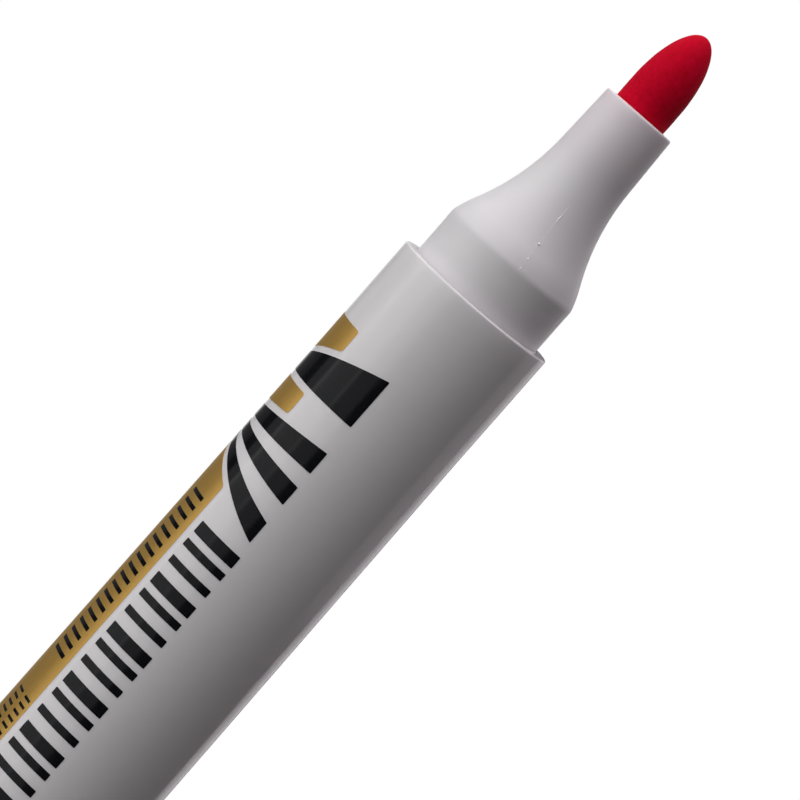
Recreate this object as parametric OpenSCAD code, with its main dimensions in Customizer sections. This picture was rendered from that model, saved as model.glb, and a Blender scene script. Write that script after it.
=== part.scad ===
// Whiteboard marker with a bullet nib. It stands on its cap, which is posted on the tail.
// Millimetres, +Z along the barrel towards the nib, origin at the centre of the cap's flat end.

/* [Cap] */
// Length of the cap
cap_len = 40; // [39:0.5:44]
// Outer diameter at the open mouth
cap_mouth_d = 17; // [16.6:0.1:17.6]
// Outer diameter at the closed end
cap_end_d = 16.2; // [15.8:0.1:16.6]
// Number of grip flutes round the closed end
cap_flutes = 12; // [6:1:16]

/* [Barrel] */
// Length of the tube
barrel_len = 77; // [76:1:90]
// Outer diameter at the front rim
barrel_front_d = 17; // [16.6:0.1:17.6]
// Outer diameter at the tail
barrel_rear_d = 17.8; // [17.2:0.1:18.4]
// Straight length behind the front rim
straight_len = 12; // [8:1:12]
// Inner diameter of the tube
bore_d = 13.8; // [13.6:0.1:14]

/* [Nose] */
// Diameter of the collar that the cap fits over
collar_d = 14.4; // [14.3:0.05:14.5]
// Radius of the hollow curve between collar and snout
flare_r = 23; // [21:0.5:26]
// Height of the snout's lower end above the barrel's rim
snout_z = 16.5; // [16:0.1:17.5]
// Diameter at the snout's lower end
snout_base_d = 8.06; // [7.9:0.02:8.3]
// Height of the snout's mouth above the barrel's rim
nose_len = 22.75; // [22.5:0.05:24]

/* [Nib] */
// Diameter of the fibre rod
nib_d = 5.64; // [5.4:0.02:5.7]
// Length that stands out of the snout
nib_out = 9.25; // [8.6:0.05:10]
// Length of the rounded point
point_len = 7; // [5:0.1:7.5]
// Whole length of the rod
nib_len = 45.6; // [44:0.2:47]

/* [Print] */
// Number of plain bars in the row along the barrel
row_bars = 20; // [8:1:21]
// Pitch of those bars
row_pitch = 2.05; // [1.9:0.05:2.1]
// Number of short ticks on the gold band
ticks = 18; // [8:1:20]

/* [Hidden] */
$fn = 96;
// Overshoot of a cutter, so that it clears the face that it opens.
over = 1;

// Heights of the main stations.
flange_t = 1.2;
spigot_len = 14;
tail_z = cap_len;
barrel_z = tail_z + flange_t;
rim_z = barrel_z + barrel_len;
mouth_z = rim_z + nose_len;
tip_z = mouth_z + nib_out;

// Radii of the parts that fit each other, with their clearances.
front_r = barrel_front_d / 2;
rear_r = barrel_rear_d / 2;
bore_r = bore_d / 2;
plug_r = bore_r - 0.02;
collar_r = collar_d / 2;
cap_bore_r = collar_r + 0.06;
snout_r = snout_base_d / 2;
nib_r = nib_d / 2;
nib_hole_r = nib_r + 0.03;

// Snap beads on the two plugs, and their grooves in the barrel.
bead_h = 0.2;
bead_len = 1.4;
groove_gap = 0.04;
skirt_len = 8;
nose_tail = 9;

// Inside of the cap: the seal's cup stands in a ring on the floor.
cap_floor = 1.6;
seal_r = 5.1;
seal_hole_r = 4.15;
seal_z = cap_len - snout_z;
ring_r = 5.7;
cap_inner_r = 6.9;
cap_step_z = 22;

// Reservoir and the breather tube in its channel.
reservoir_r = 6.2;
wrap_t = 0.12;
reservoir_z = barrel_z + skirt_len + 0.1;
reservoir_top = rim_z - nose_tail - 0.1;
reservoir_len = reservoir_top - reservoir_z;
breather_r = 0.65;
breather_at = 5.3;

// The collar widens a little into a bead that holds the cap, heights from the rim.
collar_len = 3.6;
collar_bead_r = collar_r + 0.02;
collar_bead_z = 5;

// Hollow flare between that bead and the snout, an arc that meets the snout without a corner.
snout_draft = 2;
flare_z = 7.2;
flare_steps = 28;
flare_centre = [snout_r + flare_r * cos(snout_draft), snout_z + flare_r * sin(snout_draft)];
flare_angle = asin((flare_centre[1] - flare_z) / flare_r);
shoulder_len = 0.9;
nose_wall = 1.3;

// Printed film on the barrel. Angles run round +Z from the side that faces -Y, heights from the rim.
film_t = 0.04;
gold_low = -122;
gold_high = -46.5;
gold_front = -8.8;
print_rear = -72;

// A fan of four blades. Each has its rear and front edge at fan_left, then at fan_right.
fan_low = -118;
fan_left = -80;
fan_right = -7;
fan_margin = 0.7;
fan_blades = [
    [-15.7, -13.4, -15.6, -10.2],
    [-21.4, -20, -21.2, -18.8],
    [-23.2, -22.1, -25, -22.9],
    [-24.8, -23.9, -29.6, -27.2]
];

// A row of plain bars, and rows of ticks as [low, high, front, pitch, width, count].
row_low = -40.5;
row_high = -5;
row_front = -31.2;
bar_widths = [1.3, 0.8, 0.8];
tick_rows = [
    [-72, -53, -29.8, 1.15, 0.45, ticks],
    [-72, -62, -54.6, 0.8, 0.3, 16],
    [-57, -49, -54.6, 0.8, 0.3, 16]
];

// The arc that rounds corner b of the path a-b-c with radius b[2], or b itself where it has none.
function unit(v) = v / norm(v);
function flat(p) = [p[0], p[1]];
function corner(a, b, c, n = 5) =
    len(b) < 3 ? [b] :
    let (
        u = unit(flat(a) - flat(b)),
        v = unit(flat(c) - flat(b)),
        half = acos(u * v) / 2,
        centre = flat(b) + unit(u + v) * b[2] / sin(half),
        from = flat(b) + u * b[2] / tan(half) - centre,
        to = flat(b) + v * b[2] / tan(half) - centre,
        sweep = 180 - 2 * half
    )
    [for (i = [0 : n])
        centre + (from * sin(sweep * (1 - i / n)) + to * sin(sweep * i / n)) / sin(sweep)];
function rounded(path) =
    let (n = len(path))
    [for (i = [0 : n - 1]) each corner(path[(i + n - 1) % n], path[i], path[(i + 1) % n])];

// A solid of revolution from an outline of [radius, height, corner radius].
module turned(path)
    rotate_extrude()
        polygon(rounded(path));

// Copies of the children round the axis, the first one at that angle from -Y.
module around(count, first = 0)
    for (i = [0 : count - 1])
        rotate([0, 0, first - 90 + 360 * i / count])
            children();

// A snap bead round a plug at height z, or with gap its groove round a bore.
module snap_ring(r, z, gap = 0)
    translate([0, 0, z])
        rotate_extrude()
            polygon([
                [r - over, -bead_len / 2 - gap],
                [r, -bead_len / 2 - gap],
                [r + bead_h + gap, -bead_len / 6 - gap],
                [r + bead_h + gap, bead_len / 6 + gap],
                [r, bead_len / 2 + gap],
                [r - over, bead_len / 2 + gap]
            ]);

module cap_shell() {
    mouth_r = cap_mouth_d / 2;
    end_r = cap_end_d / 2;
    flute_r = 1.3;
    flute_depth = 0.45;
    vent_r = 0.45;
    color("crimson")
        difference() {
            turned([
                [0, 0],
                [end_r, 0, 1.1],
                [mouth_r, cap_len, 0.3],
                [cap_bore_r + 0.3, cap_len],
                [cap_bore_r, cap_len - 0.5],
                [cap_bore_r, cap_step_z],
                [cap_inner_r, cap_step_z - 1.2],
                [cap_inner_r, cap_floor, 0.4],
                [ring_r, cap_floor],
                [ring_r, cap_floor + 1.8, 0.2],
                [seal_r + 0.02, cap_floor + 1.8],
                [seal_r + 0.02, cap_floor],
                [0, cap_floor]
            ]);
            around(cap_flutes)
                translate([end_r + flute_r - flute_depth, 0, 3.5])
                    cylinder(r = flute_r, h = 15);
            // Air vents outside the seal, so that nobody can choke on the cap.
            around(4, 45)
                translate([(ring_r + cap_inner_r) / 2, 0, -over])
                    cylinder(r = vent_r, h = cap_floor + 2 * over, $fn = 24);
        }
}

module cap_inner_seal() {
    lip_z = seal_z - 3.4;
    color("whitesmoke")
        turned([
            [0, cap_floor],
            [seal_r, cap_floor],
            [seal_r, seal_z - 2],
            [seal_r - 0.25, seal_z, 0.2],
            [seal_hole_r + 0.35, seal_z],
            [seal_hole_r, seal_z - 1],
            [seal_hole_r, lip_z + 0.5],
            [seal_hole_r - 0.18, lip_z, 0.2],
            [seal_hole_r, lip_z - 0.5],
            [seal_hole_r, cap_floor + 1, 0.6],
            [0, cap_floor + 1]
        ]);
}

module tail_plug() {
    wall = 1.4;
    hollow_r = plug_r - wall;
    color("crimson") {
        turned([
            [0, tail_z - spigot_len],
            [collar_r, tail_z - spigot_len, 0.8],
            [collar_r, tail_z],
            [rear_r, tail_z, 0.2],
            [rear_r, barrel_z, 0.1],
            [plug_r, barrel_z],
            [plug_r, barrel_z + skirt_len, 0.5],
            [hollow_r, barrel_z + skirt_len],
            [hollow_r, tail_z - spigot_len + wall, 0.4],
            [0, tail_z - spigot_len + wall]
        ]);
        snap_ring(plug_r, barrel_z + skirt_len / 2);
    }
}

module barrel() {
    rib_t = 0.8;
    rib_in = reservoir_r + wrap_t + 0.05;
    color("white") {
        difference() {
            turned([
                [bore_r, barrel_z],
                [rear_r, barrel_z, 0.15],
                [front_r, rim_z - straight_len],
                [front_r, rim_z, 0.25],
                [bore_r, rim_z]
            ]);
            snap_ring(bore_r, rim_z - nose_tail / 2, groove_gap);
            snap_ring(bore_r, barrel_z + skirt_len / 2, groove_gap);
        }
        // Ribs that centre the reservoir and leave room for air round it.
        around(6)
            translate([rib_in, -rib_t / 2, reservoir_z + 2])
                cube([bore_r - rib_in + 0.3, rib_t, reservoir_len - 4]);
    }
}

// Points of an arc round the flare's centre, from one angle below level to another.
function flare_arc(r, from, to) =
    [for (i = [0 : flare_steps])
        let (a = from + (to - from) * i / flare_steps)
        flare_centre - r * [cos(a), sin(a)]];

module nose_section() {
    inner_r = plug_r - nose_wall;
    inner_flare_r = flare_r + nose_wall;
    guide_angle = acos((flare_centre[0] - nib_hole_r) / inner_flare_r);
    hollow_angle = acos((flare_centre[0] - inner_r) / inner_flare_r);
    guide_z = flare_centre[1] - inner_flare_r * sin(guide_angle);
    outside = flare_arc(flare_r, flare_angle, snout_draft);
    // Soft shoulder between the bead and the flare.
    shoulder = outside[0] + shoulder_len * [sin(flare_angle), -cos(flare_angle)];
    snout_end = snout_r - (nose_len - snout_z) * tan(snout_draft);
    web_t = 0.8;
    groove_w = 0.6;
    color("whitesmoke")
        translate([0, 0, rim_z]) {
            difference() {
                union() {
                    rotate_extrude()
                        polygon(concat(
                            rounded([
                                [0, -nose_tail],
                                [plug_r, -nose_tail, 0.4],
                                [plug_r, 0],
                                [collar_r, 0],
                                [collar_r, collar_len, 3],
                                [collar_bead_r, collar_bead_z, 2],
                                [shoulder[0], shoulder[1], 13],
                                outside[0]
                            ]),
                            [for (i = [1 : flare_steps]) outside[i]],
                            corner(outside[flare_steps], [snout_end, nose_len, 0.35], [0, nose_len]),
                            [[0, nose_len]]
                        ));
                    snap_ring(plug_r, -nose_tail / 2);
                }
                // Hollow that follows the flare, and the hole that guides the nib.
                rotate_extrude()
                    polygon(concat(
                        [[0, -nose_tail - over], [inner_r, -nose_tail - over]],
                        flare_arc(inner_flare_r, hollow_angle, guide_angle),
                        [[nib_hole_r, nose_len + over], [0, nose_len + over]]
                    ));
                // Air channels beside the nib.
                around(3, 60)
                    translate([nib_hole_r - 0.3, -groove_w / 2, guide_z - over])
                        cube([0.55, groove_w, nose_len]);
            }
            // Webs that steady the nib on its way to the reservoir.
            around(4, 45)
                translate([nib_hole_r, -web_t / 2, -4])
                    cube([inner_r - nib_hole_r + 0.4, web_t, 5]);
        }
}

module nib() {
    shoulder_z = nib_out - point_len;
    rear_chamfer = 1.2;
    color([0.75, 0.02, 0.1])
        translate([0, 0, mouth_z + shoulder_z])
            rotate_extrude()
                polygon(concat(
                    [
                        [0, point_len - nib_len],
                        [nib_r - rear_chamfer, point_len - nib_len],
                        [nib_r, point_len - nib_len + rear_chamfer]
                    ],
                    [for (a = [0 : 4.5 : 90]) [nib_r * cos(a), point_len * sin(a)]]
                ));
}

module ink_reservoir() {
    color("mistyrose")
        difference() {
            translate([0, 0, reservoir_z])
                cylinder(r = reservoir_r, h = reservoir_len);
            // Socket that the nib is pushed into.
            translate([0, 0, tip_z - nib_len - 0.1])
                cylinder(r = nib_r + 0.02, h = 20);
            // Channel for the breather tube.
            around(1, 180)
                translate([breather_at, 0, reservoir_z - over])
                    cylinder(r = breather_r + 0.02, h = reservoir_len + 2 * over, $fn = 32);
        }
}

module reservoir_wrap() {
    color([0.9, 0.9, 0.95, 0.4])
        translate([0, 0, reservoir_z + 0.4])
            difference() {
                cylinder(r = reservoir_r + wrap_t, h = reservoir_len - 0.8);
                translate([0, 0, -over])
                    cylinder(r = reservoir_r, h = reservoir_len + over);
            }
}

module breather_tube() {
    color("white")
        around(1, 180)
            translate([breather_at, 0, reservoir_z + 0.2])
                difference() {
                    cylinder(r = breather_r, h = reservoir_len - 0.4, $fn = 32);
                    translate([0, 0, -over])
                        cylinder(r = breather_r - 0.25, h = reservoir_len + over, $fn = 24);
                }
}

// The barrel's outer radius at a height below its rim.
function barrel_r_at(z) =
    z > -straight_len ? front_r :
    front_r + (rear_r - front_r) * (-z - straight_len) / (barrel_len - straight_len);

// A patch of film between two angles and two heights, which follows the barrel's surface.
// With spare it is a cutter that stands out of both sides of such a film.
module film(low, high, rear, front, spare = 0) {
    heights = rear < -straight_len && front > -straight_len ?
        [rear, -straight_len, front] : [rear, front];
    last = len(heights) - 1;
    translate([0, 0, rim_z])
        rotate([0, 0, low - 90])
            rotate_extrude(angle = high - low, start = 0)
                polygon(concat(
                    [for (i = [0 : last]) [barrel_r_at(heights[i]) - spare, heights[i]]],
                    [for (i = [last : -1 : 0]) [barrel_r_at(heights[i]) + film_t + spare, heights[i]]]
                ));
}

// A blade of the fan, as a cutter through the film, wider all round by margin.
module blade(edges, margin = 0) {
    reach = rear_r * 1.3;
    middle = (edges[0] + edges[2]) / 2;
    middle_front = (edges[1] + edges[3]) / 2;
    steps = reach / (front_r * sin((fan_right - fan_left) / 2)) / 2;
    rise = (edges[2] - edges[0]) * steps;
    rise_front = (edges[3] - edges[1]) * steps;
    translate([0, 0, rim_z])
        rotate([90, 0, (fan_left + fan_right) / 2])
            linear_extrude(height = reach)
                polygon([
                    [-reach, middle - rise - margin],
                    [reach, middle + rise - margin],
                    [reach, middle_front + rise_front + margin],
                    [-reach, middle_front - rise_front + margin]
                ]);
}

// Small ticks, left open in the gold band and filled in black.
module small_ticks(spare = 0)
    for (row = tick_rows, i = [0 : row[5] - 1])
        let (front = row[2] - i * row[3])
            film(row[0], row[1], front - row[4], front, spare);

module gold_print() {
    color([0.66, 0.52, 0.2])
        difference() {
            film(gold_low, gold_high, print_rear, gold_front);
            for (edges = fan_blades)
                blade(edges, fan_margin);
            small_ticks(over);
        }
}

module black_print() {
    color([0.08, 0.08, 0.09]) {
        for (edges = fan_blades)
            intersection() {
                film(fan_low, fan_right, row_front, gold_front);
                blade(edges);
            }
        for (i = [0 : row_bars - 1])
            film(row_low, row_high,
                 row_front - i * row_pitch - bar_widths[i % 3], row_front - i * row_pitch);
        small_ticks();
    }
}

cap_shell();
cap_inner_seal();
tail_plug();
barrel();
nose_section();
nib();
ink_reservoir();
reservoir_wrap();
breather_tube();
gold_print();
black_print();
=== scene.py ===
"""Whiteboard marker, standing on its cap: the looks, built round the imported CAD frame."""
import math

import bmesh
import bpy
from mathutils import Matrix, Vector, noise


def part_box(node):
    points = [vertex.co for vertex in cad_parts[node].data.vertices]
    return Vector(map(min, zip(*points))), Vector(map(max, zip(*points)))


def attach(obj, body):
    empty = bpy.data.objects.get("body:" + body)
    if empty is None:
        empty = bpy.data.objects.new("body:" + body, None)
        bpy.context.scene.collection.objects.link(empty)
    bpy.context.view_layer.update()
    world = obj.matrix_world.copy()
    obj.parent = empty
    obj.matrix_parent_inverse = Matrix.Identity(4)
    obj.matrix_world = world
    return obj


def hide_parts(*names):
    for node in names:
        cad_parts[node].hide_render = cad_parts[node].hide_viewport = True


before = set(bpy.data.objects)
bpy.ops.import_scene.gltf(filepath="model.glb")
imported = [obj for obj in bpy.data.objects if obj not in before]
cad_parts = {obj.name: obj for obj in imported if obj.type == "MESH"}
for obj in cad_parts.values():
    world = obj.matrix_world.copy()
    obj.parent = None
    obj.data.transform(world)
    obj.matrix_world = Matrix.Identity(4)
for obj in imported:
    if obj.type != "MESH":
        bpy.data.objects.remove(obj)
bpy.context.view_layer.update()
MM = 0.001

# ---------------------------------------------------------------- heights and radii, in metres
# From the frame. NOSE_TAIL is how far the nose's plug goes down inside the barrel.
BARREL_LOW, BARREL_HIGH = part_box("barrel")
NOSE_LOW, NOSE_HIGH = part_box("nose_section")
NIB_LOW, NIB_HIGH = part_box("nib")
CAP_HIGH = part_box("cap_shell")[1]
SEAL_LOW, SEAL_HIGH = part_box("cap_inner_seal")
PLUG_LOW, PLUG_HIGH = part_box("tail_plug")

TAIL_Z = BARREL_LOW.z
RIM_Z = BARREL_HIGH.z
MOUTH_Z = NOSE_HIGH.z
TIP_Z = NIB_HIGH.z
REAR_R = BARREL_HIGH.x
BEAD_R = NOSE_HIGH.x
NIB_R = NIB_HIGH.x
CAP_MOUTH_R = CAP_HIGH.x
SEAL_R = SEAL_HIGH.x
NOSE_TAIL = RIM_Z - NOSE_LOW.z
NOSE_LEN = MOUTH_Z - RIM_Z
PLUG_TOP = PLUG_HIGH.z

# Shape values that a box doesn't give.
FRONT_R = 8.5 * MM
STRAIGHT_LEN = 12 * MM
BORE_R = 6.9 * MM
PLUG_R = 6.88 * MM
COLLAR_R = BEAD_R - 0.02 * MM
COLLAR_LEN = 3.6 * MM
BEAD_UP = 5 * MM
FLARE_UP = 7.2 * MM
SHOULDER_LEN = 0.9 * MM
FLARE_R = 23 * MM
SNOUT_UP = 16.5 * MM
SNOUT_R = 4.03 * MM
SNOUT_DRAFT = math.radians(2)
NIB_HOLE_R = NIB_R + 0.03 * MM
NIB_POINT = 7 * MM
FLANGE_T = 1.2 * MM
CAP_END_R = 8.1 * MM
CAP_BORE_R = 7.26 * MM
BEAD_H = 0.2 * MM
BEAD_LEN = 1.4 * MM

# Points nearer to the axis than this count as on it.
ON_AXIS = 1e-7


# ---------------------------------------------------------------- outlines
def rounded(path, steps=8):
    """The closed outline path of (radius, height[, corner radius]), with its corners turned into arcs."""
    out = []
    for i, here in enumerate(path):
        b = Vector(here[:2])
        if len(here) < 3:
            out.append(b)
            continue
        u = (Vector(path[i - 1][:2]) - b).normalized()
        v = (Vector(path[(i + 1) % len(path)][:2]) - b).normalized()
        half = u.angle(v) / 2
        sweep = math.pi - 2 * half
        centre = b + (u + v).normalized() * here[2] / math.sin(half)
        start = b + u * here[2] / math.tan(half) - centre
        end = b + v * here[2] / math.tan(half) - centre
        for k in range(steps + 1):
            parts = start * math.sin(sweep * (1 - k / steps)) + end * math.sin(sweep * k / steps)
            out.append(centre + parts / math.sin(sweep))
    return out


def arc(centre, radius, start, end, steps):
    """Points of an arc between two angles, in radians."""
    angles = [start + (end - start) * k / steps for k in range(steps + 1)]
    return [Vector(centre) + radius * Vector((math.cos(a), math.sin(a))) for a in angles]


def spaced(path, step):
    """The same closed outline with no stretch between its points longer than step."""
    out = []
    for i, here in enumerate(path):
        there = path[(i + 1) % len(path)]
        parts = max(1, math.ceil((there - here).length / step))
        if here.x < ON_AXIS and there.x < ON_AXIS:
            parts = 1
        out += [here.lerp(there, k / parts) for k in range(parts)]
    return out


# ---------------------------------------------------------------- meshes
def add_mesh(name, bm, material, body, node=None):
    """Turns bm into a smooth-shaded piece that rides on a body and may stand for a CAD node."""
    bmesh.ops.recalc_face_normals(bm, faces=bm.faces)
    mesh = bpy.data.meshes.new(name)
    bm.to_mesh(mesh)
    bm.free()
    mesh.shade_smooth()
    mesh.materials.append(material)
    piece = bpy.data.objects.new(name, mesh)
    bpy.context.scene.collection.objects.link(piece)
    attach(piece, body)
    if node:
        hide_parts(node)
    return piece


def lathe(outline, turns, shape=None):
    """A closed solid of revolution about +Z. shape(radius, height, angle) may move a point in or out."""
    bm = bmesh.new()
    rings = []
    for point in outline:
        if point.x < ON_AXIS:
            rings.append([bm.verts.new((0, 0, point.y))])
            continue
        ring = []
        for k in range(turns):
            angle = math.tau * k / turns
            r = shape(point.x, point.y, angle) if shape else point.x
            ring.append(bm.verts.new((r * math.cos(angle), r * math.sin(angle), point.y)))
        rings.append(ring)
    for i, ring in enumerate(rings):
        after = rings[(i + 1) % len(rings)]
        for k in range(turns):
            corners = [ring[k % len(ring)], ring[(k + 1) % len(ring)],
                       after[(k + 1) % len(after)], after[k % len(after)]]
            corners = list(dict.fromkeys(corners))
            if len(corners) > 2:
                bm.faces.new(corners)
    return bm


def sharpen(piece, degrees=30):
    """Keeps edges sharper than that angle crisp while the rest is shaded smooth."""
    bm = bmesh.new()
    bm.from_mesh(piece.data)
    for edge in bm.edges:
        edge.smooth = edge.calc_face_angle(0) < math.radians(degrees)
    bm.to_mesh(piece.data)
    bm.free()


# ---------------------------------------------------------------- materials
def new_material(name, colour, roughness, **settings):
    """A Principled material with fixed values on its sockets. Returns it with its nodes and shader."""
    material = bpy.data.materials.new(name)
    material.use_nodes = True
    tree = material.node_tree
    shader = tree.nodes["Principled BSDF"]
    shader.inputs["Base Color"].default_value = (*colour, 1)
    shader.inputs["Roughness"].default_value = roughness
    for key, value in settings.items():
        shader.inputs[key.replace("_", " ")].default_value = value
    return material, tree, shader


def add_node(tree, kind, **values):
    """A new shader node. Each value goes to the input of that name, or else to the node's own setting."""
    node = tree.nodes.new("ShaderNode" + kind)
    for key, value in values.items():
        if key in node.inputs:
            node.inputs[key].default_value = value
        else:
            setattr(node, key, value)
    return node


def object_point(tree, scale=(1, 1, 1)):
    """Object coordinates in millimetres, stretched by scale."""
    where = add_node(tree, "TexCoord")
    mapping = add_node(tree, "Mapping", Scale=[s / MM for s in scale])
    tree.links.new(where.outputs["Object"], mapping.inputs["Vector"])
    return mapping.outputs["Vector"]


def grain(tree, vector, size, detail=2.0):
    """Noise whose features are about size millimetres across."""
    texture = add_node(tree, "TexNoise", Scale=1 / size, Detail=detail)
    tree.links.new(vector, texture.inputs["Vector"])
    return texture.outputs["Fac"]


def remap(tree, value, low, high, to_low, to_high):
    """Value, with low to high turned into to_low to to_high and held at those ends."""
    node = add_node(tree, "MapRange")
    for key, number in zip(("From Min", "From Max", "To Min", "To Max"), (low, high, to_low, to_high)):
        node.inputs[key].default_value = number
    tree.links.new(value, node.inputs["Value"])
    return node.outputs["Result"]


# Sockets of a Mix node that is set to colours. Its socket names aren't unique.
MIX_FACTOR, MIX_FIRST, MIX_SECOND, MIX_RESULT = 0, 6, 7, 2


def blend_colours(tree, factor, first, second):
    """Goes from first to second with factor. Either is a colour or the output of another node."""
    node = add_node(tree, "Mix", data_type="RGBA")
    tree.links.new(factor, node.inputs[MIX_FACTOR])
    for socket, colour in ((MIX_FIRST, first), (MIX_SECOND, second)):
        if isinstance(colour, bpy.types.NodeSocket):
            tree.links.new(colour, node.inputs[socket])
        else:
            node.inputs[socket].default_value = (*colour, 1)
    return node.outputs[MIX_RESULT]


def mix_shaders(tree, factor, first, second):
    """Goes from the first shader to the second with factor."""
    mix = add_node(tree, "MixShader")
    for socket, output in zip(mix.inputs, (factor, first.outputs[0], second.outputs[0])):
        tree.links.new(output, socket)
    return mix


def add_bump(tree, shader, height, distance, under=None):
    """Bumps up to distance metres high, on top of the normal under, if there is one."""
    bump = add_node(tree, "Bump", Distance=distance)
    tree.links.new(height, bump.inputs["Height"])
    if under:
        tree.links.new(under, bump.inputs["Normal"])
    tree.links.new(bump.outputs["Normal"], shader.inputs["Normal"])
    return bump.outputs["Normal"]


def moulded_plastic(name, colour, roughness, subsurface=0.0, **settings):
    """Injection-moulded plastic: faint ripple, fine grain, dull patches and a slightly uneven tint."""
    material, tree, shader = new_material(name, colour, roughness, IOR=1.49, **settings)
    if subsurface:
        shader.inputs["Subsurface Weight"].default_value = subsurface
        shader.inputs["Subsurface Radius"].default_value = (1, 1, 1)
        shader.inputs["Subsurface Scale"].default_value = 1.2 * MM
    along = object_point(tree, (1, 1, 0.35))
    plain = object_point(tree)
    tint = blend_colours(tree, grain(tree, along, 6), [c * 0.965 for c in colour], colour)
    tree.links.new(tint, shader.inputs["Base Color"])
    dull = remap(tree, grain(tree, plain, 1.3, 4), 0.3, 0.7, roughness - 0.03, roughness + 0.06)
    tree.links.new(dull, shader.inputs["Roughness"])
    ripple = add_bump(tree, shader, grain(tree, along, 2.5), 0.012 * MM)
    add_bump(tree, shader, grain(tree, plain, 0.09), 0.0012 * MM, under=ripple)
    return material


def tint_towards_mouth(material, ink_and_bounce_tint):
    """Pinker towards the snout's mouth: partly the nib's ink showing faintly through the plastic, partly
    painted red bounce light from the nib.
    """
    tree = material.node_tree
    base = tree.nodes["Principled BSDF"].inputs["Base Color"]
    even = base.links[0].from_socket
    reach = 9 * MM
    split = add_node(tree, "SeparateXYZ")
    tree.links.new(object_point(tree), split.inputs["Vector"])
    depth = remap(tree, split.outputs["Z"], (MOUTH_Z - reach) / MM, MOUTH_Z / MM, 0, 1)
    tree.links.new(blend_colours(tree, depth, even, ink_and_bounce_tint), base)


def fibre(name, colour, deep, sheen):
    """Pressed fibre soaked with ink: soft blotches, fine strands along the axis and pits between them."""
    material, tree, shader = new_material(name, colour, 0.7, Sheen_Weight=sheen, Sheen_Roughness=0.6)
    shader.inputs["Specular IOR Level"].default_value = 0.04
    strands = grain(tree, object_point(tree, (1, 1, 0.12)), 0.14, 3)
    blotches = grain(tree, object_point(tree), 0.5, 4)
    pits = grain(tree, object_point(tree), 0.1, 2)
    tint = blend_colours(tree, remap(tree, blotches, 0.3, 0.65, 0, 1), deep, colour)
    tree.links.new(tint, shader.inputs["Base Color"])
    under = add_bump(tree, shader, strands, 0.008 * MM)
    add_bump(tree, shader, pits, 0.008 * MM, under=under)
    return material


def ink_film(name, colour, speck, speck_size, roughness, **settings):
    """Printed ink: an even film with the small specks and soft dull spots of pad printing."""
    material, tree, shader = new_material(name, colour, roughness, IOR=1.5, **settings)
    specks = remap(tree, grain(tree, object_point(tree), speck_size, 3), 0.35, 0.7, 0, 1)
    tree.links.new(blend_colours(tree, specks, colour, speck), shader.inputs["Base Color"])
    dull = remap(tree, grain(tree, object_point(tree, (1, 1, 0.4)), 0.9, 3), 0.3, 0.7,
                 roughness - 0.02, roughness + 0.05)
    tree.links.new(dull, shader.inputs["Roughness"])
    add_bump(tree, shader, grain(tree, object_point(tree), 0.12), 0.0015 * MM)
    return material


def clear_film():
    """Thin clear film, faintly creased."""
    material, tree, shader = new_material("clear_film", (0.85, 0.85, 0.88), 0.12, Alpha=0.4)
    add_bump(tree, shader, grain(tree, object_point(tree, (1, 1, 0.3)), 1.5), 0.02 * MM)
    return material


white_plastic = moulded_plastic("white_plastic", (0.765, 0.74, 0.755), 0.15, 0.15)
nose_plastic = moulded_plastic("nose_plastic", (0.755, 0.733, 0.75), 0.38, 0.2, Specular_IOR_Level=0.35)
# Pink near the mouth: ink seen through the plastic, plus painted red bounce light from the nib.
tint_towards_mouth(nose_plastic, (0.76, 0.69, 0.725))
# Mould flash on the parting lines, made near-white and partly metallic: a painted glint standing in for the
# key light's highlight on the ridges and nubs.
flash_painted_glint = moulded_plastic("flash_painted_glint", (1, 0.99, 1), 0.25, Metallic=0.3)
stained_plastic = moulded_plastic("stained_plastic", (0.95, 0.62, 0.6), 0.3, 0.3)
seal_plastic = moulded_plastic("seal_plastic", (0.8, 0.8, 0.8), 0.45, 0.25)
red_plastic = moulded_plastic("red_plastic", (0.56, 0.012, 0.035), 0.25)
nib_fibre = fibre("nib_fibre", (0.625, 0.0002, 0.0235), (0.52, 0, 0.013), 0.01)
black_ink = ink_film("black_ink", (0.005, 0.0052, 0.0065), (0.008, 0.0083, 0.0105), 0.25, 0.12,
                     Specular_IOR_Level=0.17)
gold_ink = ink_film("gold_ink", (0.545, 0.325, 0.074), (0.64, 0.39, 0.096), 0.08, 0.4, Metallic=0.7)

# CAD nodes that keep their own mesh.
HIDDEN_LOOKS = {
    "ink_reservoir": fibre("reservoir_fibre", (0.7, 0.25, 0.27), (0.6, 0.16, 0.18), 0.3),
    "reservoir_wrap": clear_film(),
    "breather_tube": moulded_plastic("tube_plastic", (0.82, 0.82, 0.82), 0.4),
}
for node_name, look in HIDDEN_LOOKS.items():
    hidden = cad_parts[node_name].data
    hidden.materials.clear()
    hidden.materials.append(look)
    hidden.shade_smooth()


# ---------------------------------------------------------------- barrel and nose
def barrel_r_at(z):
    """Outer radius of the barrel at z, a height measured up from its rim and so below zero."""
    if z > -STRAIGHT_LEN:
        return FRONT_R
    return FRONT_R + (REAR_R - FRONT_R) * (-z - STRAIGHT_LEN) / (RIM_Z - TAIL_Z - STRAIGHT_LEN)


def snap_bead(r, z, height):
    """Points of a snap bead round a plug at height z, going up."""
    half = BEAD_LEN / 2
    return [(r, z - half), (r + height, z - half / 3), (r + height, z + half / 3), (r, z + half)]


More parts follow.
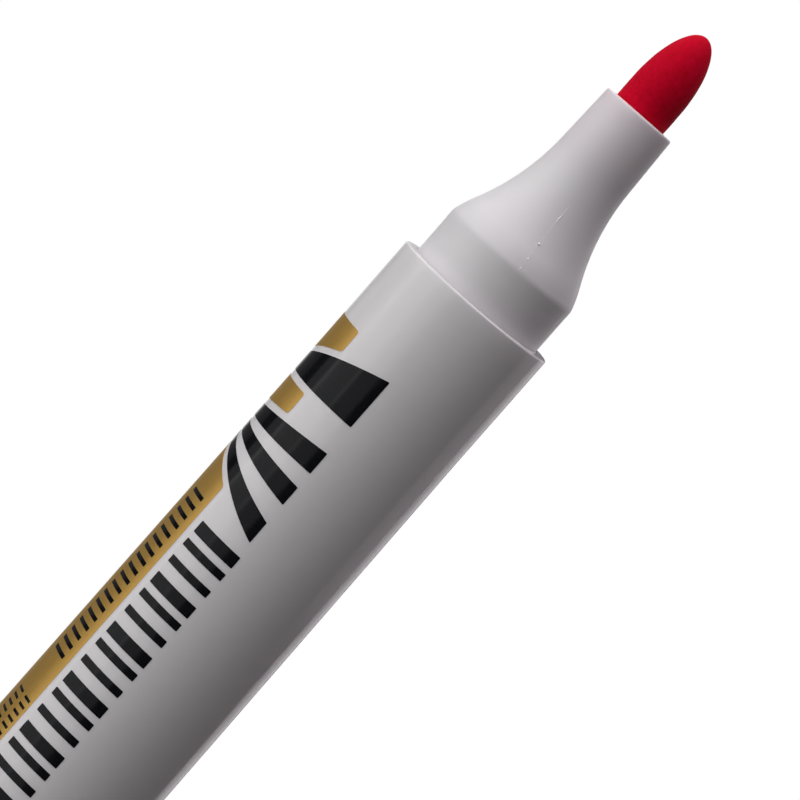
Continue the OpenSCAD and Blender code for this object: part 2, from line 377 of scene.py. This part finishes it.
def make_barrel():
    """The tube, with a groove for each plug's snap bead."""
    skirt_z = TAIL_Z + (PLUG_TOP - TAIL_Z) / 2
    groove = BEAD_H + 0.04 * MM
    outline = rounded([
        (BORE_R, TAIL_Z),
        (REAR_R, TAIL_Z, 0.15 * MM),
        (FRONT_R, RIM_Z - STRAIGHT_LEN),
        (FRONT_R, RIM_Z, 0.2 * MM),
        (BORE_R, RIM_Z),
        *reversed(snap_bead(BORE_R, RIM_Z - NOSE_TAIL / 2, groove)),
        *reversed(snap_bead(BORE_R, skirt_z, groove)),
    ])
    bm = lathe(spaced(outline, 2 * MM), turns=256)
    sharpen(add_mesh("barrel_tube", bm, white_plastic, "marker", "barrel"))


FLARE_CENTRE = Vector((SNOUT_R + FLARE_R * math.cos(SNOUT_DRAFT),
                       SNOUT_UP + FLARE_R * math.sin(SNOUT_DRAFT)))


def flare_arc(flare, start, end, steps):
    """Points of an arc round the flare's centre, between two angles below level."""
    return arc(FLARE_CENTRE, flare, math.pi + start, math.pi + end, steps)


def flare_angle_at_radius(radius, flare):
    """The angle below level at which an arc of radius flare passes that distance from the axis."""
    return math.acos((FLARE_CENTRE.x - radius) / flare)


def nose_outside():
    """The nose from the barrel's rim to the snout's mouth, as (radius, height above the rim[, corner])."""
    snout_end = SNOUT_R - (NOSE_LEN - SNOUT_UP) * math.tan(SNOUT_DRAFT)
    slope = math.asin((FLARE_CENTRE.y - FLARE_UP) / FLARE_R)
    flare = flare_arc(FLARE_R, slope, SNOUT_DRAFT, steps=40)
    shoulder = flare[0] + SHOULDER_LEN * Vector((math.sin(slope), -math.cos(slope)))
    return [
        (COLLAR_R, 0),
        (COLLAR_R, COLLAR_LEN, 3 * MM),
        (BEAD_R, BEAD_UP, 2 * MM),
        (*shoulder, 13 * MM),
        *[tuple(point) for point in flare],
        (snout_end, NOSE_LEN, 0.2 * MM),
    ]


def make_nose():
    """The hollow nose in one closed outline, with air channels cut into the bore that guides the nib."""
    wall = 1.3 * MM
    inner_r = PLUG_R - wall
    inner_flare_r = FLARE_R + wall
    inside = flare_arc(inner_flare_r, flare_angle_at_radius(NIB_HOLE_R, inner_flare_r),
                       flare_angle_at_radius(inner_r, inner_flare_r), steps=24)
    path = [
        (inner_r, -NOSE_TAIL),
        (PLUG_R, -NOSE_TAIL, 0.4 * MM),
        *snap_bead(PLUG_R, -NOSE_TAIL / 2, BEAD_H),
        (PLUG_R, 0),
        *nose_outside(),
        (NIB_HOLE_R, NOSE_LEN, 0.05 * MM),
        *[tuple(point) for point in inside],
    ]
    outline = [point + Vector((0, RIM_Z)) for point in rounded(path)]
    guide_z = RIM_Z + inside[0].y
    guide_top = MOUTH_Z - 0.5 * MM
    bore_limit = NIB_HOLE_R + 0.09 * MM
    channel_depth = 0.25 * MM
    # In degrees round the bore.
    channel_at, channel_gap = 30, 120
    channel_half, channel_slope = 5, 1.5

    def air_channel(r, z, angle):
        """Three shallow channels beside the nib, in the snout's bore."""
        if r > bore_limit or not guide_z <= z <= guide_top:
            return r
        off = abs((math.degrees(angle) - channel_at + channel_gap / 2) % channel_gap - channel_gap / 2)
        return r + channel_depth * (1 - min(1, max(0, (off - channel_half) / channel_slope)))

    bm = lathe(spaced(outline, 0.7 * MM), turns=288, shape=air_channel)
    sharpen(add_mesh("nose_shell", bm, nose_plastic, "marker", "nose_section"))


def make_parting_lines():
    """Fine ridges low on the flare where the mould's halves met, with the nubs left along them."""
    angles = [8.2, 188.2]
    # As (height above the rim, how far it stands out, spread along the ridge), in millimetres.
    nubs = [(5.3, 0.03, 0.1), (6.33, 0.06, 0.09), (7.98, 0.13, 0.1), (10.95, 0.045, 0.35)]
    top = 12.4 * MM
    fade_len = 1 * MM
    ridge_h = 0.003 * MM
    half_width = 0.028 * MM
    nub_spread = 0.7
    sunk = 0.03 * MM
    step = 0.04 * MM
    line = spaced(rounded([(0, 0), *nose_outside(), (0, NOSE_LEN)]), step)
    line = [point for point in line if BEAD_UP < point.y < top]
    bm = bmesh.new()
    for degrees in angles:
        middle = math.radians(degrees - 90)
        sections = []
        for i in range(1, len(line) - 1):
            point = line[i]
            along = (line[i + 1] - line[i - 1]).normalized()
            out = Vector((along.y, -along.x))
            nub = sum(h * math.exp(-((point.y / MM - z) / spread) ** 2) for z, h, spread in nubs) * MM
            uneven = 0.55 + 0.45 * noise.noise((point.y / MM * 0.9, degrees, 0))
            height = ridge_h * uneven * min(1, (top - point.y) / fade_len) + nub
            width = half_width + nub_spread * nub
            flank = 0.6 * height
            profile = [(-1, -sunk), (-0.55, flank), (0, height), (0.55, flank), (1, -sunk)]
            section = []
            for side, rise in profile:
                place = point + out * rise
                turn = middle + side * width / place.x
                section.append(bm.verts.new((place.x * math.cos(turn), place.x * math.sin(turn),
                                             RIM_Z + place.y)))
            sections.append(section)
        for a, b in zip(sections, sections[1:]):
            for k in range(len(a)):
                j = (k + 1) % len(a)
                bm.faces.new((a[k], a[j], b[j], b[k]))
        bm.faces.new(sections[0])
        bm.faces.new(sections[-1])
    # The ridges and nubs are real mould flash; their near-white, partly metallic look is a painted glint.
    add_mesh("nose_parting_lines", bm, flash_painted_glint, "marker")


def make_mouth_lip():
    """The thin lip round the nib, stained by the ink that creeps up to it."""
    low, high = MOUTH_Z - 0.1 * MM, MOUTH_Z + 0.05 * MM
    inner_r, outer_r = NIB_HOLE_R + 0.005 * MM, NIB_HOLE_R + 0.12 * MM
    edge = 0.05 * MM
    outline = rounded([
        (inner_r, low),
        (outer_r, low),
        (outer_r, high, edge),
        (inner_r, high, edge),
    ])
    add_mesh("nose_mouth_lip", lathe(outline, turns=192), stained_plastic, "marker")


# ---------------------------------------------------------------- nib
def make_nib():
    """The rod, with a bullet point that is half of an ellipse. Only what shows gets the look of felt."""
    shoulder_z = TIP_Z - NIB_POINT
    chamfer = 1.2 * MM
    degree_step = 1.5
    angles = [math.radians(degree_step * k) for k in range(int(90 / degree_step))]
    point = [Vector((NIB_R * math.cos(a), shoulder_z + NIB_POINT * math.sin(a))) for a in angles]
    hidden_z = MOUTH_Z - 2 * MM
    step = 0.12 * MM
    shank = [Vector((NIB_R, hidden_z + k * step)) for k in range(int((shoulder_z - hidden_z) / step))]
    dent_depth, pit_depth, waist_depth = 0.018 * MM, 0.003 * MM, 0.03 * MM
    waist_len = 0.3 * MM
    outline = [
        Vector((0, NIB_LOW.z)),
        Vector((NIB_R - chamfer, NIB_LOW.z)),
        Vector((NIB_R, NIB_LOW.z + chamfer)),
        *shank,
        *point,
        Vector((0, TIP_Z)),
    ]

    def felt(r, z, angle):
        """Soft dents and pits, and a slight waist at the snout's mouth, all inside the rod's own radius."""
        if z < hidden_z:
            return r
        x, y = r * math.cos(angle) / MM, r * math.sin(angle) / MM
        dents = noise.noise((x * 1.1, y * 1.1, z / MM * 0.7))
        pits = noise.noise((x * 5, y * 5, z / MM * 4))
        waist = max(0, 1 - (z - MOUTH_Z) / waist_len) ** 2
        depth = dent_depth * (1 + dents) + pit_depth * (1 + pits) + waist_depth * waist
        return r - depth * min(1, r / NIB_R)

    bm = lathe(outline, turns=320, shape=felt)
    add_mesh("nib_felt", bm, nib_fibre, "marker", "nib")


# ---------------------------------------------------------------- print
def film_patch(bm, low, high, rear, front, thickness, corner):
    """A patch of film on the barrel between two angles, with rounded corners. rear and front give its
    ends at an angle, as heights from the rim. Angles are in degrees round +Z from the side that faces -Y."""
    column_gap, row_gap = 1.5, 2.5 * MM
    corner_steps = 6
    span = (high - low) * math.pi / 180 * FRONT_R
    columns = max(2, math.ceil((high - low) / column_gap))
    rows = max(1, math.ceil(abs(front(low) - rear(low)) / row_gap))
    cuts = [corner / span * (1 - math.cos(math.radians(90 / corner_steps * k)))
            for k in range(corner_steps + 1)]
    places = {k / columns for k in range(columns + 1)}
    places.update(cuts)
    places.update(1 - cut for cut in cuts)
    grid = []
    for place in sorted(places):
        angle = low + (high - low) * place
        turn = math.radians(angle - 90)
        edge = min(place, 1 - place) * span
        inset = corner - math.sqrt(max(0, corner ** 2 - max(0, corner - edge) ** 2))
        z0, z1 = rear(angle) + inset, front(angle) - inset
        column = []
        for j in range(rows + 1):
            z = z0 + (z1 - z0) * j / rows
            pair = [bm.verts.new((r * math.cos(turn), r * math.sin(turn), RIM_Z + z))
                    for r in (barrel_r_at(z), barrel_r_at(z) + thickness)]
            column.append(pair)
        grid.append(column)
    for a, b in zip(grid, grid[1:]):
        for j in range(rows):
            bm.faces.new((a[j][1], b[j][1], b[j + 1][1], a[j + 1][1]))
            bm.faces.new((a[j][0], a[j + 1][0], b[j + 1][0], b[j][0]))
        bm.faces.new((a[0][0], b[0][0], b[0][1], a[0][1]))
        bm.faces.new((a[rows][0], a[rows][1], b[rows][1], b[rows][0]))
    for column in (grid[0], grid[-1]):
        for j in range(rows):
            bm.faces.new((column[j][0], column[j][1], column[j + 1][1], column[j + 1][0]))


# Angles are in degrees as in film_patch, and heights go up from the rim. The ticks are a little thicker,
# so that they stand clear of the gold that they are printed on.
FILM_T = 0.03 * MM
TICK_T = 0.038 * MM
GOLD_LOW, GOLD_HIGH = -122, -46.5
GOLD_FRONT = -8.8 * MM
PRINT_REAR = -72 * MM

# How far each kind of patch has its corners rounded.
FAN_CORNER, BAR_CORNER, TICK_CORNER, GOLD_CORNER = 0.1 * MM, 0.08 * MM, 0.05 * MM, 0.35 * MM

# A fan of four blades. Each has its rear and front edge at FAN_LEFT, then at FAN_RIGHT, in millimetres.
FAN_LOW, FAN_LEFT, FAN_RIGHT = -118, -80, -7
FAN_MARGIN = 0.7 * MM
FAN_BLADES = [
    (-15.7, -13.4, -15.6, -10.2),
    (-21.4, -20, -21.2, -18.8),
    (-23.2, -22.1, -25, -22.9),
    (-24.8, -23.9, -29.6, -27.2),
]

ROW_LOW, ROW_HIGH = -40.5, -5
ROW_FRONT = -31.2 * MM
ROW_BARS, ROW_PITCH = 20, 2.05 * MM
BAR_WIDTHS = [1.3 * MM, 0.8 * MM, 0.8 * MM]

# Rows of ticks as (low, high, front, pitch, width, count), lengths in millimetres.
TICK_ROWS = [
    (-72, -53, -29.8, 1.15, 0.45, 18),
    (-72, -62, -54.6, 0.8, 0.3, 16),
    (-57, -49, -54.6, 0.8, 0.3, 16),
]


def level(z):
    """The edge of a patch that runs straight round the barrel."""
    return lambda angle: z


def fan_edge(left, right, shift=0.0):
    """An edge of a blade, given in millimetres where it starts and ends, moved by shift."""
    middle = (FAN_LEFT + FAN_RIGHT) / 2
    reach = math.sin(math.radians((FAN_RIGHT - FAN_LEFT) / 2))

    def edge(angle):
        place = 0.5 + 0.5 * math.sin(math.radians(angle - middle)) / reach
        return (left + (right - left) * place) * MM + shift

    return edge


def make_black_print():
    """The blades of the fan, the row of bars and the ticks on the gold."""
    bm = bmesh.new()
    for rear_left, front_left, rear_right, front_right in FAN_BLADES:
        film_patch(bm, FAN_LOW, FAN_RIGHT, fan_edge(rear_left, rear_right),
                   fan_edge(front_left, front_right), FILM_T, FAN_CORNER)
    for i in range(ROW_BARS):
        front = ROW_FRONT - i * ROW_PITCH
        rear = front - BAR_WIDTHS[i % len(BAR_WIDTHS)]
        film_patch(bm, ROW_LOW, ROW_HIGH, level(rear), level(front), FILM_T, BAR_CORNER)
    for low, high, first, pitch, width, count in TICK_ROWS:
        for i in range(count):
            front = (first - i * pitch) * MM
            film_patch(bm, low, high, level(front - width * MM), level(front), TICK_T, TICK_CORNER)
    sharpen(add_mesh("black_print_film", bm, black_ink, "marker", "black_print"))


def make_gold_print():
    """The gold band, cut through wherever the blades and their margins cross it. Two margins that meet
    leave no gold between them."""
    bm = bmesh.new()
    front = level(GOLD_FRONT)
    for rear_left, front_left, rear_right, front_right in FAN_BLADES:
        rear = fan_edge(front_left, front_right, FAN_MARGIN)
        if rear(GOLD_LOW) < front(GOLD_LOW) and rear(GOLD_HIGH) < front(GOLD_HIGH):
            film_patch(bm, GOLD_LOW, GOLD_HIGH, rear, front, FILM_T, GOLD_CORNER)
        front = fan_edge(rear_left, rear_right, -FAN_MARGIN)
    film_patch(bm, GOLD_LOW, GOLD_HIGH, level(PRINT_REAR), front, FILM_T, GOLD_CORNER)
    sharpen(add_mesh("gold_print_film", bm, gold_ink, "marker", "gold_print"))


# ---------------------------------------------------------------- cap and tail
def make_cap():
    """The cap, open at the top, with a ring on its floor round the seal cup."""
    floor = 1.6 * MM
    ring_top = floor + 1.8 * MM
    ring_r = 5.7 * MM
    cup_r = SEAL_R + 0.02 * MM
    inner_r = 6.9 * MM
    step_z = 22 * MM
    cap_len = CAP_HIGH.z
    outline = rounded([
        (0, 0),
        (CAP_END_R, 0, 1.1 * MM),
        (CAP_MOUTH_R, cap_len, 0.3 * MM),
        (CAP_BORE_R + 0.3 * MM, cap_len, 0.1 * MM),
        (CAP_BORE_R, cap_len - 0.5 * MM, 0.2 * MM),
        (CAP_BORE_R, step_z),
        (inner_r, step_z - 1.2 * MM),
        (inner_r, floor, 0.4 * MM),
        (ring_r, floor),
        (ring_r, ring_top, 0.2 * MM),
        (cup_r, ring_top),
        (cup_r, floor),
        (0, floor),
    ])
    flutes = 12
    flute_gap = 360 / flutes
    flute_depth, flute_half, flute_end = 0.45 * MM, 1.05 * MM, 1 * MM
    flute_low, flute_high = 3.5 * MM, 18.5 * MM
    outside_r = inner_r + 0.5 * MM

    def fluted(r, z, angle):
        """Grip flutes round the closed end, with rounded ends."""
        if r < outside_r or not flute_low < z < flute_high:
            return r
        turn = (math.degrees(angle) + flute_gap / 2) % flute_gap - flute_gap / 2
        across = abs(math.radians(turn)) * r / flute_half
        end = min(z - flute_low, flute_high - z) / flute_end
        along = 1 - (1 - min(1, end)) ** 2
        return r - flute_depth * max(0, 1 - across ** 2) * along

    bm = lathe(spaced(outline, 0.5 * MM), turns=384, shape=fluted)
    sharpen(add_mesh("cap_body", bm, red_plastic, "cap", "cap_shell"))


def make_seal():
    """The cap's inner cup, with a soft lip that grips the snout."""
    floor = SEAL_LOW.z
    top = SEAL_HIGH.z
    hole_r = 4.15 * MM
    lip_z = top - 3.4 * MM
    outline = rounded([
        (0, floor),
        (SEAL_R, floor),
        (SEAL_R, top - 2 * MM, 0.6 * MM),
        (SEAL_R - 0.25 * MM, top, 0.2 * MM),
        (hole_r + 0.35 * MM, top, 0.15 * MM),
        (hole_r, top - MM, 0.3 * MM),
        (hole_r, lip_z + 0.5 * MM),
        (hole_r - 0.18 * MM, lip_z, 0.2 * MM),
        (hole_r, lip_z - 0.5 * MM),
        (hole_r, floor + MM, 0.6 * MM),
        (0, floor + MM),
    ])
    bm = lathe(spaced(outline, MM), turns=160)
    sharpen(add_mesh("seal_cup", bm, seal_plastic, "cap", "cap_inner_seal"))


def make_tail_plug():
    """The spigot for the cap, the flange and the hollow skirt inside the barrel."""
    wall = 1.4 * MM
    hollow_r = PLUG_R - wall
    flange_low = TAIL_Z - FLANGE_T
    outline = rounded([
        (0, PLUG_LOW.z),
        (COLLAR_R, PLUG_LOW.z, 0.8 * MM),
        (COLLAR_R, flange_low),
        (REAR_R, flange_low, 0.2 * MM),
        (REAR_R, TAIL_Z, 0.1 * MM),
        (PLUG_R, TAIL_Z),
        *snap_bead(PLUG_R, (TAIL_Z + PLUG_TOP) / 2, BEAD_H),
        (PLUG_R, PLUG_TOP, 0.5 * MM),
        (hollow_r, PLUG_TOP, 0.2 * MM),
        (hollow_r, PLUG_LOW.z + wall, 0.4 * MM),
        (0, PLUG_LOW.z + wall),
    ])
    bm = lathe(spaced(outline, MM), turns=256)
    sharpen(add_mesh("tail_plug_body", bm, red_plastic, "marker", "tail_plug"))


make_barrel()
make_nose()
make_parting_lines()
make_mouth_lip()
make_nib()
make_black_print()
make_gold_print()
make_cap()
make_seal()
make_tail_plug()


# ---------------------------------------------------------------- camera, light and floor
# Sensor and lens in millimetres.
SENSOR = 36
LENS = 169.4
CAMERA_AWAY = 0.347
CAMERA_UP = 22.9 * MM
CAMERA_ROLL = math.radians(41.21)
AIM_BELOW_RIM = 11.6 * MM
AIM_ASIDE = 0.7 * MM

PANEL_AWAY = 0.7
PANEL_AIM_BELOW_RIM = 20 * MM
WHITE, WARM_WHITE, TOP_WHITE = (1, 1, 1), (1, 0.94, 0.97), (1, 0.94, 0.975)

# Soft panels, as (name, azimuth, elevation, width, height, power, colour), in degrees, metres and watts.
# Those level with the marker show in its gloss, and the others shape it.
PANELS = [
    ("key", -67, 5, 0.43, 1.0, 1.62, WHITE),
    ("key_edge", -87, 5, 0.073, 1.0, 0.44, WHITE),
    ("key_side", -97, 5, 0.17, 1.0, 0.32, WHITE),
    ("key_front", -40, 5, 0.35, 1.0, 0.77, WHITE),
    ("rim_left", -148, 0, 0.74, 0.8, 0.24, WHITE),
    ("edge_left", -168, 5, 0.25, 1.0, 0.38, WHITE),
    ("rim_right", 150, 0, 0.4, 0.5, 0.56, WARM_WHITE),
    ("back_right", 118, 10, 0.35, 0.5, 0.26, WARM_WHITE),
    ("high_key", -62, 30, 0.9, 0.45, 0.95, WHITE),
    ("high_front", -18, 40, 0.5, 0.6, 0.7, WHITE),
    ("high_back", -125, 40, 0.5, 0.4, 0.8, WHITE),
    ("top", 0, 85, 0.6, 0.6, 2.3, TOP_WHITE),
    ("top_back", 60, 70, 0.6, 0.6, 0.72, TOP_WHITE),
]
# Fills the side that faces away from the camera, and doesn't show in the gloss.
BACK_PANEL = ("back", 178, 20, 0.3, 0.8, 1.1, WHITE)


def add_camera():
    """Long lens, level with the snout's mouth, rolled so that the nib points to the upper right."""
    camera = bpy.data.objects.new("camera", bpy.data.cameras.new("camera"))
    bpy.context.scene.collection.objects.link(camera)
    camera.data.sensor_width = SENSOR
    camera.data.lens = LENS
    camera.data.clip_start = 0.01
    camera.data.clip_end = 10
    place = Vector((0, -CAMERA_AWAY, RIM_Z + CAMERA_UP))
    aim = Vector((AIM_ASIDE, 0, RIM_Z - AIM_BELOW_RIM))
    look = (aim - place).to_track_quat("-Z", "Y").to_matrix()
    rolled = look @ Matrix.Rotation(CAMERA_ROLL, 3, "Z")
    camera.matrix_world = Matrix.Translation(place) @ rolled.to_4x4()
    bpy.context.scene.camera = camera


def add_panel(name, azimuth, elevation, width, height, power, colour):
    """A soft panel that faces the marker. Azimuth runs round +Z from -Y towards +X, in degrees."""
    light = bpy.data.lights.new(name, "AREA")
    light.shape = "RECTANGLE"
    light.size, light.size_y = width, height
    light.energy = power
    light.color = colour
    panel = bpy.data.objects.new(name, light)
    bpy.context.scene.collection.objects.link(panel)
    turn, rise = math.radians(azimuth - 90), math.radians(elevation)
    aim = Vector((0, 0, RIM_Z - PANEL_AIM_BELOW_RIM))
    away = Vector((math.cos(rise) * math.cos(turn), math.cos(rise) * math.sin(turn), math.sin(rise)))
    facing = away.to_track_quat("Z", "Y").to_matrix().to_4x4()
    panel.matrix_world = Matrix.Translation(aim + away * PANEL_AWAY) @ facing
    return panel


def add_world(fill):
    """White where the camera sees it, and a faint even fill for everything else."""
    world = bpy.data.worlds.new("world")
    bpy.context.scene.world = world
    world.use_nodes = True
    tree = world.node_tree
    background = tree.nodes["Background"]
    seen = add_node(tree, "LightPath").outputs["Is Camera Ray"]
    strength = remap(tree, seen, 0, 1, fill, 1)
    background.inputs["Color"].default_value = (1, 1, 1, 1)
    tree.links.new(strength, background.inputs["Strength"])


def add_floor():
    """A round pale floor that fades away into the white surround. It throws little light back up at the
    marker, and it isn't there for a look from below."""
    radius = 0.11
    fade_from, fade_to = 0.3 * radius, 0.97 * radius
    bm = bmesh.new()
    bmesh.ops.create_circle(bm, cap_ends=True, segments=128, radius=radius)
    mesh = bpy.data.meshes.new("floor")
    bm.to_mesh(mesh)
    bm.free()
    floor = bpy.data.objects.new("floor", mesh)
    bpy.context.scene.collection.objects.link(floor)
    material, tree, shader = new_material("floor", (0.97, 0.97, 0.98), 0.6)
    grey = add_node(tree, "BsdfDiffuse", Color=(0.2, 0.2, 0.2, 1))
    seen = add_node(tree, "LightPath").outputs["Is Camera Ray"]
    surface = mix_shaders(tree, seen, grey, shader)
    where = add_node(tree, "TexCoord")
    length = add_node(tree, "VectorMath", operation="LENGTH")
    tree.links.new(where.outputs["Object"], length.inputs[0])
    distance = remap(tree, length.outputs["Value"], fade_from, fade_to, 0, 1)
    below = add_node(tree, "NewGeometry").outputs["Backfacing"]
    fade = add_node(tree, "Math", operation="MAXIMUM")
    tree.links.new(distance, fade.inputs[0])
    tree.links.new(below, fade.inputs[1])
    clear = add_node(tree, "BsdfTransparent")
    faded = mix_shaders(tree, fade.outputs[0], surface, clear)
    tree.links.new(faded.outputs[0], tree.nodes["Material Output"].inputs["Surface"])
    mesh.materials.append(material)


add_camera()
add_world(0.01)
add_floor()
for panel_settings in PANELS:
    add_panel(*panel_settings)
back = add_panel(*BACK_PANEL)
back.visible_glossy = False
bpy.context.scene.view_settings.view_transform = "Standard"
